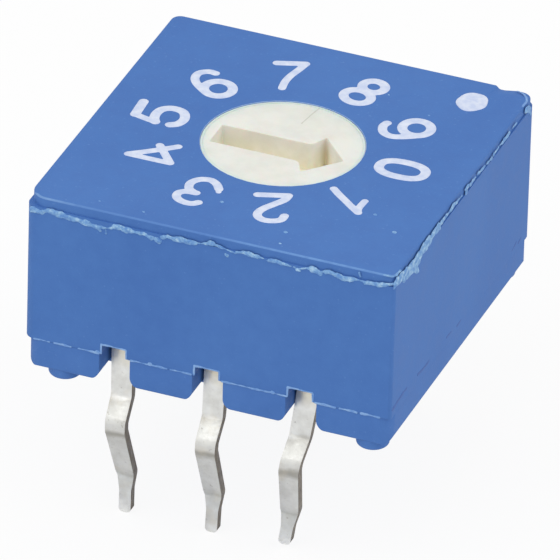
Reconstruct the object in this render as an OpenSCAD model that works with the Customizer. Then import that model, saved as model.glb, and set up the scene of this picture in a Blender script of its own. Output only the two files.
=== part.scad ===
// Binary coded rotary switch, ten positions, for through-hole boards.
// Frame: millimetres, +Z up. The origin is the middle of the terminal pattern on the
// board surface that the feet stand on. The dial's zero lies along +X.

/* [Housing] */
// Width and depth of the square cover
body_w = 10; // [9.8:0.1:10.6]
// Height of the cover from its rim to its top face
cover_h = 4.2; // [4:0.1:5]
// Thickness of the cover's side walls
cover_wall = 0.8; // [0.7:0.02:0.84]
// Thickness of the cover's roof
roof_t = 1; // [0.8:0.05:1.2]
// Radius of the cover's left upright corners
corner_r = 0.26; // [0.1:0.02:0.5]
// Radius of the top's front left corner, above the parting step
top_r = 0.5; // [0.2:0.02:0.6]
// Radius of the cover's front right upright corner
near_r = 0.1; // [0.06:0.02:0.5]
// Radius of the upright corner beside the index dot
index_r = 0.3; // [0.1:0.02:0.5]
// Depth of the mould parting step below the top face
step_h = 0.28; // [0.2:0.02:0.4]
// How far the top lies inside the side faces above the parting step
step_inset = 0.04; // [0.02:0.01:0.08]
// Width of the gate scar along the rear edge, from the cover's right side
gate_w = 1.06; // [0.8:0.02:1.4]
// Depth of the gate scar where it begins
gate_depth = 0.11; // [0.06:0.01:0.16]
// How far the gate scar reaches in from the rear edge
gate_back = 0.34; // [0.2:0.02:0.5]

/* [Base] */
// Height of the base plate below the cover's rim
plate_h = 0.8; // [0.6:0.01:0.9]
// How much smaller than the cover the base plate is, on each side
plate_inset = 0.04; // [0.03:0.01:0.12]
// Mould offset of the plate, its notches and feet along the rows
plate_off_x = 0.03; // [0:0.01:0.03]
// Mould offset of the plate and feet toward the front row
plate_off_y = 0.03; // [0:0.01:0.03]
// Radius of the base plate's upright corners
plate_corner_r = 0.4; // [0.2:0.05:0.6]
// Rounding of the base plate's lower side edges
plate_round = 0.24; // [0.1:0.02:0.3]
// Rounding of the base plate's lower front and rear edges
plate_edge = 0.06; // [0.03:0.01:0.2]
// Height of the stand-off feet
foot_h = 0.28; // [0.15:0.01:0.35]
// Radius of a foot
foot_r = 0.43; // [0.35:0.01:0.5]
// Distance of a foot's centre from the plate's side
foot_inset = 0.76; // [0.66:0.01:0.9]
// Mould offset of the feet along the rows, against the plate
foot_off = 0.14; // [0:0.01:0.18]
// Distance of a foot's rim from the plate's front or rear edge
foot_edge = 0.03; // [0.02:0.01:0.1]
// Height of the plug that enters the cover
plug_h = 0.95; // [0.75:0.05:1.05]
// Wall thickness of the plug
plug_wall = 0.42; // [0.35:0.01:0.46]
// Clearance between the plug and the cover's cavity
plug_gap = 0.03; // [0.02:0.01:0.05]
// Length of each snap ridge
snap_len = 2.4; // [1.6:0.1:3]
// How far a snap ridge stands proud of the plug
snap_proud = 0.14; // [0.08:0.01:0.18]

/* [Terminals] */
// Pitch of the terminals along a row
pitch = 2.54; // [2.5:0.02:2.6]
// Distance between the two rows at the tips
row_space = 7.62; // [7.5:0.02:7.7]
// Thickness of the terminal strip
strip_t = 0.25; // [0.2:0.01:0.27]
// Width of a terminal
pin_w = 0.6; // [0.52:0.01:0.64]
// Width of a terminal where its taper begins
low_w = 0.5; // [0.42:0.01:0.52]
// Width of a terminal's narrow end
tip_w = 0.33; // [0.25:0.01:0.4]
// Length of a terminal's taper to its narrow end
taper = 0.6; // [0.3:0.05:0.8]
// Length of a terminal below the board surface
pin_len = 4.19; // [4.05:0.01:4.6]
// How much shorter the front right terminal is
short_right = 0.15; // [0:0.01:0.2]
// How far the legs stand inside the cover's faces, to their middle plane
leg_inset = 0.755; // [0.72:0.005:0.78]
// How far the locking knee bulges outward
knee_out = 0.4; // [0.25:0.01:0.44]
// Depth at which the knee begins
knee_start = 0.47; // [0.35:0.02:0.6]
// Depth of the knee's crest
knee_depth = 1.04; // [0.98:0.02:1.3]
// Length of the knee's crest
crest_len = 0.26; // [0.2:0.02:0.4]
// Depth at which the leg has come in to the row spacing
straight_depth = 3.07; // [2.8:0.01:3.2]
// Sideways bend of the front left terminal, measured at its tip
bend_left = -0.02; // [-0.3:0.02:0.3]
// Sideways bend of the front middle terminal, measured at its tip
bend_middle = -0.18; // [-0.3:0.02:0.3]
// Sideways bend of the front right terminal, measured at its tip
bend_right = -0.74; // [-0.8:0.02:0.3]
// Sideways bend of the rear right terminal, measured at its tip
bend_rear_right = -0.42; // [-0.6:0.02:0.3]
// Clearance beside a terminal in its notch in the cover's rim
rim_gap_side = 0.03; // [0.02:0.005:0.1]
// Clearance above a terminal in its notch in the cover's rim
rim_gap_top = 0.02; // [0.01:0.01:0.06]
// Clearance beside a terminal in its notch in the base plate
plate_gap_side = 0.12; // [0.1:0.01:0.2]
// Clearance behind a terminal in its notch in the base plate
plate_gap_back = 0.12; // [0.06:0.01:0.16]
// Rounding of the notch's lower corners
notch_round = 0.3; // [0.1:0.01:0.34]

/* [Contacts] */
// Width of a contact finger
finger_w = 0.36; // [0.3:0.02:0.4]
// Thickness of a contact finger
finger_t = 0.12; // [0.08:0.01:0.15]
// Height of the contact chamber above the lead frame
chamber_h = 0.85; // [0.7:0.05:0.95]
// Gap between a finger's nose and the code disc
touch_gap = 0.03; // [0.02:0.01:0.05]
// Distance of the finger of contact 1 from the middle plane
finger_1_x = 1.5; // [1.3:0.05:1.7]
// Distance of the finger of contact 2 from the middle plane
finger_2_x = 2.3; // [2.2:0.05:2.4]
// Distance of the finger of contact 8 from the middle plane
finger_8_x = 0.95; // [0.9:0.05:1]
// Distance of the common finger from the middle plane
finger_c_x = 0.6; // [0.55:0.05:0.7]

/* [Rotor] */
// Radius of the rotor's head
head_r = 2.09; // [2:0.01:2.15]
// Radial clearance of the head in the cover's bore
bore_gap = 0.03; // [0.02:0.01:0.05]
// How far the head lies below the top face
head_recess = 0.02; // [0.01:0.01:0.1]
// Thickness of the disc that carries the code disc
carrier_t = 0.35; // [0.3:0.01:0.4]
// Thickness of the detent wheel
wheel_t = 0.65; // [0.6:0.01:0.7]
// Distance of the detent wheel's rim from the springs' middle planes
wheel_space = 0.5; // [0.45:0.01:0.6]
// Depth of a detent valley
valley_depth = 0.3; // [0.2:0.01:0.35]
// Radius of a detent valley's curve
valley_r = 1; // [0.8:0.05:1.2]
// Number of switch positions
positions = 10; // [10:1:10]
// Radius of the lower pivot
pivot_r = 0.4; // [0.3:0.01:0.42]
// Radial clearance of the pivot in its bush
pivot_gap = 0.04; // [0.02:0.01:0.06]
// Wall thickness of the pivot bush
bush_wall = 0.26; // [0.2:0.01:0.28]
// Axial play of the rotor
axial_play = 0.05; // [0.03:0.01:0.08]

/* [Driver slot] */
// Depth of the driver slot
slot_depth = 0.8; // [0.6:0.05:0.85]
// Width of the slot's shaft
slot_w = 0.9; // [0.7:0.02:1]
// How far the slot's tail reaches from the rotor's axis
slot_tail = 1.77; // [1.5:0.01:1.85]
// How far the arrow's tip reaches from the rotor's axis
arrow_tip = 1.71; // [1.5:0.01:1.85]
// Where the arrow head begins, from the rotor's axis
arrow_neck = 0.68; // [0.5:0.02:0.8]
// Where the arrow's barbs lie, from the rotor's axis
barb_x = 0.9; // [0.82:0.02:1]
// Half the width across the arrow's barbs
barb_y = 0.915; // [0.7:0.005:1]
// Sideways place of the slot's middle line
slot_shift = -0.16; // [-0.2:0.01:0.2]
// Rounding of the inner corners where the shaft meets the head
neck_round = 0.2; // [0.06:0.01:0.24]

/* [Code disc] */
// Thickness of the code disc
disc_t = 0.15; // [0.1:0.01:0.2]
// Inner radius of the innermost code track
track_in = 0.9; // [0.88:0.01:0.95]
// Width of a code track
track_w = 0.5; // [0.46:0.01:0.51]
// Half the angle that a single code pad covers
pad_half = 13; // [11:0.5:15]

/* [Seal and detent springs] */
// Section diameter of the sealing ring
ring_d = 0.46; // [0.4:0.01:0.48]
// Clearance of the sealing ring in its groove and bore
ring_gap = 0.03; // [0.02:0.01:0.05]
// Thickness of a detent spring
spring_t = 0.1; // [0.08:0.01:0.12]
// Height of a detent spring
spring_h = 0.5; // [0.4:0.01:0.52]
// Half the length of a detent spring
spring_half = 3.6; // [3.5:0.05:3.7]
// Gap between a spring and the slots that hold it
spring_gap = 0.02; // [0.01:0.01:0.03]
// Gap between a spring's cam and the detent wheel
cam_gap = 0.03; // [0.02:0.01:0.05]

/* [Hidden] */
$fn = 96;

eps = 0.01;
through = 1;              // how far a cut runs past the face that it opens
arc_steps = 5;            // straight pieces in a bend or a rounded corner
blue = [0.29, 0.45, 0.73];
cream = [0.93, 0.92, 0.86];
tin = [0.76, 0.76, 0.73];
gold = [0.83, 0.69, 0.38];
steel = [0.66, 0.67, 0.69];

// Snap ridge: heights of its lower foot, face and upper foot about its middle line
snap_lift = 0.3;
snap_under = 0.16;
snap_face = [-0.1, -0.04];
snap_over = 0.22;

// Levels, from the board upward
z_under = foot_h;
z_rim = z_under + plate_h;
z_top = z_rim + cover_h;
z_roof = z_top - roof_t;
z_strip = z_rim + strip_t;
z_disc = z_strip + chamber_h;
z_carrier = z_disc + carrier_t;
z_wheel = z_carrier + wheel_t;
z_boss = z_wheel + axial_play;
z_head = z_top - head_recess;
z_spring = z_carrier + (wheel_t - spring_h) / 2;
z_snap = z_strip + snap_lift;

// Plan sizes
half_w = body_w / 2;
cavity = half_w - cover_wall;
cavity_r = 0.5;
plug_half = cavity - plug_gap;
plate_half = half_w - plate_inset;
bore_r = head_r + bore_gap;
boss_wall = 0.6;
boss_r = bore_r + boss_wall;
tracks = 5;
carrier_rim = 0.12;
carrier_r = track_in + tracks * track_w + carrier_rim;
bush_r = pivot_r + pivot_gap + bush_wall;
bush_space = 0.12;        // from the pivot bush to the code disc
foot_x = plate_half - foot_inset;
foot_y = plate_half - foot_r - foot_edge;
foot_round = 0.1;
gate_run = 0.12;          // length of the scar's first slope
gate_rise = 0.45;         // length over which the scar grows shallower
gate_far = 0.3;           // its depth from there on, as a share

// Sealing ring and its groove in the head
ring_r = bore_r - ring_gap - ring_d / 2;
groove_floor = ring_r - ring_d / 2 - ring_gap;
groove_lift = 0.2;
groove_z = z_wheel + groove_lift;
groove_h = ring_d + 2 * ring_gap;

// Small roundings of the rotor's head and its slot
head_edge = 0.05;
slot_end_r = 0.05;
barb_r = 0.03;
point_r = 0.07;

// Terminal strip
leg_y = half_w - leg_inset;
tip_y = row_space / 2;
strip_mid = z_rim + strip_t / 2;
leg_reach = 1;            // from a leg to the inner edge of its flat link
link_in = leg_y - leg_reach;
link_w = 0.4;
link_side = 0.05;         // how far a link is wider than its finger, on each side
bend_r = 0.24;
taper_over = 0.15;        // how far the taper begins above the lower bend
tip_round = 0.35 * tip_w;
leg_corner_r = 0.02;
pocket_gap = 0.01;
pocket_len = 0.3;         // length of the recess below a finger's root

// Fingers: lengths of the root and the nose, and the drop at each end of the nose
root_len = 0.12;
nose_half = 0.08;
nose_len = 0.3;
nose_rise = 0.1;
nose_fall = 0.16;
finger_bend_r = 0.1;

// Detent springs and the holders in the cover's corners
spring_inset = 0.35;
spring_x = cavity - spring_inset;
holder_wall = 0.4;
holder_len = 0.7;
holder_in = spring_x - holder_wall;
holder_start = spring_half - holder_len;
wheel_r = spring_x - wheel_space;
cam_x = wheel_r - valley_depth + cam_gap + spring_t / 2;
cam_flat = 0.1;
cam_foot = 1.3;
cam_bend_r = 0.15;

// Code tracks, counted from the middle: 8, common, 1, 2, 4
function track_mid(i) = track_in + (i + 0.5) * track_w;
function touch_y(i, x) = sqrt(pow(track_mid(i), 2) - pow(x, 2));

// Where each finger touches its track, as an angle seen from above
angle_1 = atan2(touch_y(2, finger_1_x), -finger_1_x);
angle_2 = atan2(-touch_y(3, finger_2_x), finger_2_x);
angle_4 = atan2(-touch_y(4, pitch), -pitch);
angle_8 = atan2(touch_y(0, finger_8_x), finger_8_x);

// Paths and outlines
function unit(v) = v / norm(v);
function left_of(v) = [-v[1], v[0]];
function arc_point(c, r, a, b, t) = c + r * unit((1 - t) * a + t * b);

// The short arc of radius r that rounds corner b, where directions u and v leave it
function corner_arc(b, u, v, r) =
    let (
        half = acos(u * v) / 2,
        centre = b + unit(u + v) * r / sin(half),
        from = unit(b + u * r / tan(half) - centre),
        to = unit(b + v * r / tan(half) - centre)
    )
    [for (i = [0:arc_steps]) arc_point(centre, r, from, to, i / arc_steps)];

// Corner b between its neighbours a and c, rounded unless the three lie in line
function rounded_corner(a, b, c, r) =
    let (u = unit(a - b), v = unit(c - b))
    norm(u + v) < 0.001 ? [b] : corner_arc(b, u, v, r);

// An open path with all its inner corners rounded to radius r
function rounded_path(p, r) =
    let (last = len(p) - 1)
    [
        p[0],
        for (i = [1:last - 1]) each rounded_corner(p[i - 1], p[i], p[i + 1], r),
        p[last]
    ];

// A closed outline, each corner rounded to its own radius
function rounded_outline(p, r) =
    let (n = len(p))
    [for (i = [0:n - 1]) each rounded_corner(p[(i + n - 1) % n], p[i], p[(i + 1) % n], r[i])];

// The mitre at point i of a path: how far the edge of a strip lies from its middle line
function mitre(p, i) =
    let (
        last = len(p) - 1,
        before = left_of(unit(p[max(i, 1)] - p[max(i, 1) - 1])),
        after = left_of(unit(p[min(i, last - 1) + 1] - p[min(i, last - 1)]))
    )
    (before + after) / (1 + before * after);

// The outline of a strip of thickness t that follows a path
function strip_outline(p, t) =
    let (last = len(p) - 1)
    concat(
        [for (i = [0:last]) p[i] + mitre(p, i) * t / 2],
        [for (i = [last:-1:0]) p[i] - mitre(p, i) * t / 2]
    );

// Shared shapes
module rounded_square(half, r) {
    square([2 * half, 2 * (half - r)], center = true);
    square([2 * (half - r), 2 * half], center = true);
    for (x = [-1, 1], y = [-1, 1])
        translate([x * (half - r), y * (half - r)])
            circle(r);
}

// A square with its own radius at each corner, from the index corner round to the left
module cover_square(half, radii) {
    signs = [[1, 1], [-1, 1], [-1, -1], [1, -1]];
    difference() {
        square(2 * half, center = true);
        for (i = [0:3])
            difference() {
                translate(signs[i] * half)
                    square(2 * radii[i], center = true);
                translate(signs[i] * (half - radii[i]))
                    circle(radii[i]);
            }
    }
}

module slab(half, r, z0, z1) {
    translate([0, 0, z0])
        linear_extrude(z1 - z0)
            rounded_square(half, r);
}

// A block between two corner points
module block(from, to) {
    translate(from)
        cube(to - from);
}

// Extrudes an outline drawn in Y and Z along X, centred on x
module along_x(x, width) {
    translate([x - width / 2, 0, 0])
        rotate([90, 0, 90])
            linear_extrude(width)
                children();
}

// Extrudes an outline drawn in X and Z along Y, between y0 and y1
module along_y(y0, y1) {
    translate([0, y1, 0])
        rotate([90, 0, 0])
            linear_extrude(y1 - y0)
                children();
}

module both_rows() {
    children();
    mirror([0, 1, 0])
        children();
}

module both_sides() {
    children();
    mirror([1, 0, 0])
        children();
}

module corners() {
    both_rows()
        both_sides()
            children();
}

// Cover: a square cap with the bore for the rotor's head
module snap_profile(gap) {
    translate([plug_half, z_snap])
        polygon([
            [-plug_wall / 2, -snap_under - gap],
            [snap_proud + gap, snap_face[0] - gap],
            [snap_proud + gap, snap_face[1] + gap],
            [-plug_wall / 2, snap_over + gap]
        ]);
}

module snap_ridge(gap) {
    along_y(-snap_len / 2 - gap, snap_len / 2 + gap)
        snap_profile(gap);
}

module cover_outside() {
    translate([0, 0, z_rim])
        linear_extrude(cover_h - step_h)
            cover_square(half_w, [index_r, corner_r, corner_r, near_r]);
    translate([0, 0, z_rim + eps])
        linear_extrude(cover_h - eps)
            cover_square(half_w - step_inset, [index_r, corner_r, top_r, near_r]);
}

module spring_holder() {
    block([holder_in, holder_start, z_spring], [half_w, half_w, z_top]);
}

module cover_cavity() {
    difference() {
        slab(cavity, cavity_r, z_rim - through, z_roof);
        translate([0, 0, z_boss])
            cylinder(r = boss_r, h = cover_h);
        corners()
            spring_holder();
    }
}

module spring_slot() {
    gap = spring_t / 2 + spring_gap;
    top = z_spring + spring_h + spring_gap;
    block(
        [spring_x - gap, -spring_half - spring_gap, z_spring - through],
        [spring_x + gap, spring_half + spring_gap, top]
    );
}

module rim_notch(x) {
    half = pin_w / 2 + rim_gap_side;
    block(
        [x - half, cavity - plug_wall, z_rim - through],
        [x + half, half_w + through, z_strip + rim_gap_top]
    );
}

// A nick in the top's rear edge that runs out into the index corner
module gate_scar() {
    start = half_w - gate_w;
    deep = z_top - gate_depth;
    shallow = z_top - gate_far * gate_depth;
    inner = half_w - gate_back;
    intersection() {
        along_y(inner, half_w + through)
            polygon([
                [start, z_top],
                [start + gate_run, deep],
                [start + gate_run + gate_rise, shallow],
                [half_w + through, shallow],
                [half_w + through, z_top + through],
                [start, z_top + through]
            ]);
        along_x(half_w, 2 * gate_w + through)
            polygon([
                [inner, z_top],
                [half_w, z_top - gate_depth],
                [half_w + through, z_top - gate_depth],
                [half_w + through, z_top + through],
                [inner, z_top + through]
            ]);
    }
}

module cover() {
    color(blue)
        difference() {
            cover_outside();
            cover_cavity();
            translate([0, 0, z_rim])
                cylinder(r = bore_r, h = cover_h + through);
            both_sides() {
                spring_slot();
                snap_ridge(plug_gap);
            }
            both_rows()
                for (x = [-pitch, 0, pitch])
                    rim_notch(x);
            gate_scar();
        }
}

// Base: a plate on four feet, with a plug that holds the contacts and the pivot bush
module plate_profile(r) {
    translate([-plate_half, z_under + r])
        square([2 * plate_half, plate_h - r]);
    translate([-plate_half + r, z_under])
        square([2 * (plate_half - r), plate_h]);
    for (x = [-1, 1])
        translate([x * (plate_half - r), z_under + r])
            circle(r);
}

module notch_profile(x) {
    half = pin_w / 2 + plate_gap_side;
    translate([x - half, z_under - through])
        square([2 * half, plate_h + through + eps]);
    difference() {
        translate([x - half - notch_round, z_under - through])
            square([2 * (half + notch_round), through + notch_round]);
        for (side = [-1, 1])
            translate([x + side * (half + notch_round), z_under + notch_round])
                circle(notch_round);
    }
}

module base_plate() {
    intersection() {
        slab(plate_half, plate_corner_r, z_under, z_rim);
        along_x(0, body_w)
            plate_profile(plate_edge);
        along_y(-half_w, half_w)
            plate_profile(plate_round);
    }
}

module plate_notches() {
    both_rows()
        along_y(leg_y - strip_t / 2 - plate_gap_back, half_w + through)
            for (x = [-pitch, 0, pitch])
                notch_profile(x + plate_off_x);
}

module foot() {
    translate([foot_x, foot_y, 0])
        rotate_extrude() {
            square([foot_r - foot_round, foot_h + plate_round]);
            translate([0, foot_round])
                square([foot_r, foot_h + plate_round - foot_round]);
            translate([foot_r - foot_round, foot_round])
                circle(foot_round, $fn = 32);
        }
}

module spring_post() {
    intersection() {
        slab(plug_half, cavity_r, z_rim, z_spring - spring_gap);
        block([holder_in, holder_start, z_rim], [half_w, half_w, z_top]);
    }
}

module plug() {
    slab(plug_half, cavity_r, z_rim - eps, z_strip);
    difference() {
        slab(plug_half, cavity_r, z_strip - eps, z_rim + plug_h);
        slab(plug_half - plug_wall, cavity_r, z_strip, z_top);
    }
    corners()
        spring_post();
    both_sides()
        snap_ridge(0);
}

module pivot_bush() {
    difference() {
        translate([0, 0, z_strip - eps])
            cylinder(r = bush_r, h = chamber_h - bush_space + eps);
        translate([0, 0, z_strip])
            cylinder(r = pivot_r + pivot_gap, h = chamber_h + through);
    }
}

module base() {
    color(blue)
        difference() {
            union() {
                translate([plate_off_x, -plate_off_y, 0]) {
                    base_plate();
                    translate([foot_off, 0, 0])
                        corners()
                            foot();
                }
                plug();
                pivot_bush();
            }
            plate_notches();
            lead_frame_pockets();
        }
}

// Terminals: one strip each, bent down through the base plate's notch, kneed outward so
// that it locks in its board hole, and narrowed at its end
function leg_path(inner) = rounded_path([
    [inner, strip_mid],
    [leg_y, strip_mid],
    [leg_y, -knee_start],
    [leg_y + knee_out, -knee_depth],
    [leg_y + knee_out, -knee_depth - crest_len],
    [tip_y, -straight_depth],
    [tip_y, -pin_len]
], bend_r);

// How far a bent leg has moved sideways at height z, below the cover's rim
function lean(bend, z) = bend * (z_rim - z) / (z_rim + pin_len);

module leg_front(x, bend, short) {
    narrow_from = taper_over - straight_depth;
    narrow_to = narrow_from - taper;
    end = short - pin_len;
    outline = [
        [x - pin_w / 2, z_strip + through],
        [x - pin_w / 2, z_rim],
        [x - low_w / 2 + lean(bend, narrow_from), narrow_from],
        [x - tip_w / 2 + lean(bend, narrow_to), narrow_to],
        [x - tip_w / 2 + lean(bend, end), end],
        [x + tip_w / 2 + lean(bend, end), end],
        [x + tip_w / 2 + lean(bend, narrow_to), narrow_to],
        [x + low_w / 2 + lean(bend, narrow_from), narrow_from],
        [x + pin_w / 2, z_rim],
        [x + pin_w / 2, z_strip + through]
    ];
    polygon(rounded_outline(outline, [
        leg_corner_r, leg_corner_r, tip_round, tip_round, tip_round,
        tip_round, tip_round, tip_round, leg_corner_r, leg_corner_r
    ]));
}

module leg(x, bend, inner, short = 0) {
    intersection() {
        along_x(x, 4 * pin_w + 2 * abs(bend))
            polygon(strip_outline(leg_path(inner), strip_t));
        along_y(-through, half_w + through)
            leg_front(x, bend, short);
    }
}

// The flat link from a terminal to the root of its finger
module link(x, finger_x, gap) {
    half = finger_w / 2 + link_side;
    from = min(x - pin_w / 2, finger_x - half) - gap;
    to = max(x + pin_w / 2, finger_x + half) + gap;
    block([from, link_in - gap, z_rim], [to, link_in + link_w + gap, z_strip + gap]);
}

// The spring finger, which rises from its link and touches the code disc at distance y
module finger(x, y) {
    flat_z = z_strip - finger_t / 2;
    nose_z = z_disc - touch_gap - finger_t / 2;
    path = rounded_path([
        [link_in + link_w / 2, flat_z],
        [link_in - root_len, flat_z],
        [y + nose_len, nose_z - nose_rise],
        [y + nose_half, nose_z],
        [y - nose_half, nose_z],
        [y - nose_len, nose_z - nose_fall]
    ], finger_bend_r);
    along_x(x, finger_w)
        polygon(strip_outline(path, finger_t));
}

// One contact on the +Y row: its terminal, link and finger
module contact(x, bend, finger_x, track, short = 0) {
    leg(x, bend, link_in, short);
    link(x, finger_x, 0);
    finger(finger_x, touch_y(track, finger_x));
}

// The recess that a contact lies in
module pocket(x, finger_x, inner) {
    half = pin_w / 2 + pocket_gap;
    block([x - half, inner - pocket_gap, z_rim], [x + half, half_w, z_strip + pocket_gap]);
    link(x, finger_x, pocket_gap);
    block(
        [finger_x - finger_w / 2 - pocket_gap, link_in - pocket_len, z_strip - finger_t - pocket_gap],
        [finger_x + finger_w / 2 + pocket_gap, link_in, z_strip + pocket_gap]
    );
}

module front() {
    mirror([0, 1, 0])
        children();
}

module lead_frame_pockets() {
    pocket(-pitch, -finger_1_x, link_in);
    pocket(pitch, finger_8_x, link_in);
    pocket(0, 0, -eps);
    front() {
        pocket(-pitch, -pitch, link_in);
        pocket(0, -finger_c_x, -eps);
        pocket(pitch, finger_2_x, link_in);
    }
}

module contact_1() {
    color(tin)
        contact(-pitch, 0, -finger_1_x, 2);
}

module contact_2() {
    color(tin)
        front()
            contact(pitch, bend_right, finger_2_x, 3, short_right);
}

module contact_4() {
    color(tin)
        front()
            contact(-pitch, bend_left, -pitch, 4);
}

module contact_8() {
    color(tin)
        contact(pitch, bend_rear_right, finger_8_x, 0);
}

// The bar that joins the two middle terminals
module common_bar() {
    reach = link_in + link_w;
    block([-pin_w / 2, -reach, z_rim], [pin_w / 2, reach, z_strip]);
}

module contact_common() {
    color(tin) {
        common_bar();
        leg(0, 0, link_in);
        front()
            contact(0, bend_middle, -finger_c_x, 1);
    }
}

// Rotor: head with the driver slot, detent wheel, code disc carrier and pivot
module slot_outline() {
    corners_r = [slot_end_r, neck_round, barb_r, point_r, barb_r, neck_round, slot_end_r];
    polygon(rounded_outline([
        [-slot_tail, slot_w / 2],
        [arrow_neck, slot_w / 2],
        [barb_x, barb_y],
        [arrow_tip, 0],
        [barb_x, -barb_y],
        [arrow_neck, -slot_w / 2],
        [-slot_tail, -slot_w / 2]
    ], corners_r));
}

module driver_slot() {
    translate([0, slot_shift, z_head - slot_depth])
        linear_extrude(slot_depth + through)
            slot_outline();
}

module detent_wheel() {
    translate([0, 0, z_carrier - eps])
        linear_extrude(wheel_t + eps)
            difference() {
                circle(wheel_r);
                for (i = [0:positions - 1])
                    rotate(i * 360 / positions)
                        translate([wheel_r - valley_depth + valley_r, 0])
                            circle(valley_r);
            }
}

module head() {
    rotate_extrude()
        difference() {
            polygon([
                [0, z_carrier],
                [head_r, z_carrier],
                [head_r, z_head - head_edge],
                [head_r - head_edge, z_head],
                [0, z_head]
            ]);
            translate([groove_floor, groove_z])
                square([ring_d + through, groove_h]);
        }
}

module rotor() {
    color(cream)
        difference() {
            union() {
                translate([0, 0, z_disc])
                    cylinder(r = carrier_r, h = carrier_t);
                detent_wheel();
                head();
                translate([0, 0, z_strip + axial_play])
                    cylinder(r = pivot_r, h = chamber_h);
            }
            driver_slot();
            translate([0, 0, z_disc - through])
                linear_extrude(through + disc_t)
                    code_outline(pocket_gap);
        }
}

// Seal ring: lies in the head's groove and wipes the cover's bore
module seal_ring() {
    color([0.16, 0.16, 0.17])
        translate([0, 0, groove_z + groove_h / 2])
            rotate_extrude()
                translate([ring_r, 0])
                    circle(d = ring_d, $fn = 48);
}

// Code disc: the common ring, with pads wherever a bit of the position number is set
module ring_sector(track, from, to, gap) {
    steps = 6;
    spread = 2 * positions;
    intersection() {
        difference() {
            circle(track_in + (track + 1) * track_w + gap);
            circle(track_in + track * track_w - gap);
        }
        polygon(concat(
            [[0, 0]],
            [for (i = [0:steps])
                let (a = from - gap + (to - from + 2 * gap) * i / steps)
                spread * [cos(a), sin(a)]]
        ));
    }
}

// A pad that is under its finger from position first to position last
module code_pad(track, finger_angle, first, last, gap) {
    turn = 360 / positions;
    ring_sector(
        track,
        finger_angle + first * turn - pad_half,
        finger_angle + last * turn + pad_half,
        gap
    );
}

module code_outline(gap) {
    difference() {
        circle(track_in + 2 * track_w + gap);
        circle(track_in + track_w - gap);
    }
    for (odd = [1:2:positions - 1])
        code_pad(2, angle_1, odd, odd, gap);
    for (first = [2:4:positions - 4])
        code_pad(3, angle_2, first, first + 1, gap);
    code_pad(4, angle_4, 4, 7, gap);
    code_pad(0, angle_8, 8, 9, gap);
}

module code_disc() {
    color(gold)
        translate([0, 0, z_disc])
            linear_extrude(disc_t)
                code_outline(0);
}

// Detent springs: a flat strip on each side, with a cam that drops into the wheel's valleys
module detent_spring() {
    path = rounded_path([
        [spring_x, -spring_half],
        [spring_x, -cam_foot],
        [cam_x, -cam_flat],
        [cam_x, cam_flat],
        [spring_x, cam_foot],
        [spring_x, spring_half]
    ], cam_bend_r);
    color(steel)
        translate([0, 0, z_spring])
            linear_extrude(spring_h)
                polygon(strip_outline(path, spring_t));
}

module detent_spring_right() {
    detent_spring();
}

module detent_spring_left() {
    mirror([1, 0, 0])
        detent_spring();
}

cover();
base();
rotor();
seal_ring();
code_disc();
detent_spring_left();
detent_spring_right();
contact_1();
contact_2();
contact_4();
contact_8();
contact_common();
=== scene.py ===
"""Looks of a ten-position binary coded rotary switch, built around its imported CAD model.

Shapes are worked out in millimetres and written to the meshes in metres.
x runs along the row of terminals, y from the front row to the rear row and z up from the board.
"""

import math

import bmesh
import bpy
import numpy as np
from mathutils import Matrix, Vector


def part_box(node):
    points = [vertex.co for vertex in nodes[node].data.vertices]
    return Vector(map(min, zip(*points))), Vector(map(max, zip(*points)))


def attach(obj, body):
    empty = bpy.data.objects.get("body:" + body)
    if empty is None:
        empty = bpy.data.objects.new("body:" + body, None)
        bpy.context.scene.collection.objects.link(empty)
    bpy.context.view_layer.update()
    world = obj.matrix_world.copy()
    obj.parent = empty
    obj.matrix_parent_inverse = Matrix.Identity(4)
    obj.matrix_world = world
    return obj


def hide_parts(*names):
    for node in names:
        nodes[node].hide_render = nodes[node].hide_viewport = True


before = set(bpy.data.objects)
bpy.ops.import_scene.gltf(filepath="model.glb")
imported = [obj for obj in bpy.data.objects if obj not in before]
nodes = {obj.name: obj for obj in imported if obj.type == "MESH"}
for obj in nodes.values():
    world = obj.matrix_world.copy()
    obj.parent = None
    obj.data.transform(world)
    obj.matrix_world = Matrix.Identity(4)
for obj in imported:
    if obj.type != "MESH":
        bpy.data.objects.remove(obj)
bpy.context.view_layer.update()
MM = 0.001


# ---------------------------------------------------------------- places

def low(node):
    """Lowest corner of a CAD node in millimetres."""
    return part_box(node)[0] / MM


def high(node):
    """Highest corner of a CAD node in millimetres."""
    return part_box(node)[1] / MM


TOP = high("cover").z              # plateau of the cover
WALL = high("cover").x             # outer wall of the cover
RIM = low("cover").z               # lower rim of the cover
LEDGE = TOP - 0.28                 # small ledge round the plateau
ROTOR_TOP = high("rotor").z
FLOOR = low("contact_common").z    # tips of the terminals stand on the floor
PITCH = 2.54                       # between the terminals of a row
BARB = (0.93, 0.74)                # corner of the far barb of the driver slot


# ---------------------------------------------------------------- camera

IMAGE_PX = 560                         # side of the square photograph
FOCAL_PX = 12953.07                    # focal length in its pixels
SENSOR = 36                            # width of the sensor in millimetres
CAMERA_TURN = (20.685, 31.286, 1.669)  # azimuth, elevation and roll in degrees
CAMERA_AT = (0.049, 0.794, 332)        # right, up and back from the aim, in millimetres
CAMERA_AIM = Vector((0, 0, 0.28))
CLIP = (0.01, 20)                      # nearest and furthest that shows, in metres


def camera_axes(azimuth, elevation, roll):
    """Right, up and backward axes of a camera that looks at the origin."""
    a, e, r = (math.radians(v) for v in (azimuth, elevation, roll))
    back = Vector((math.sin(a) * math.cos(e), -math.cos(a) * math.cos(e), math.sin(e)))
    right = Vector((0, 0, 1)).cross(back).normalized()
    up = back.cross(right)
    return (right * math.cos(r) + up * math.sin(r),
            up * math.cos(r) - right * math.sin(r), back)


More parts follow.
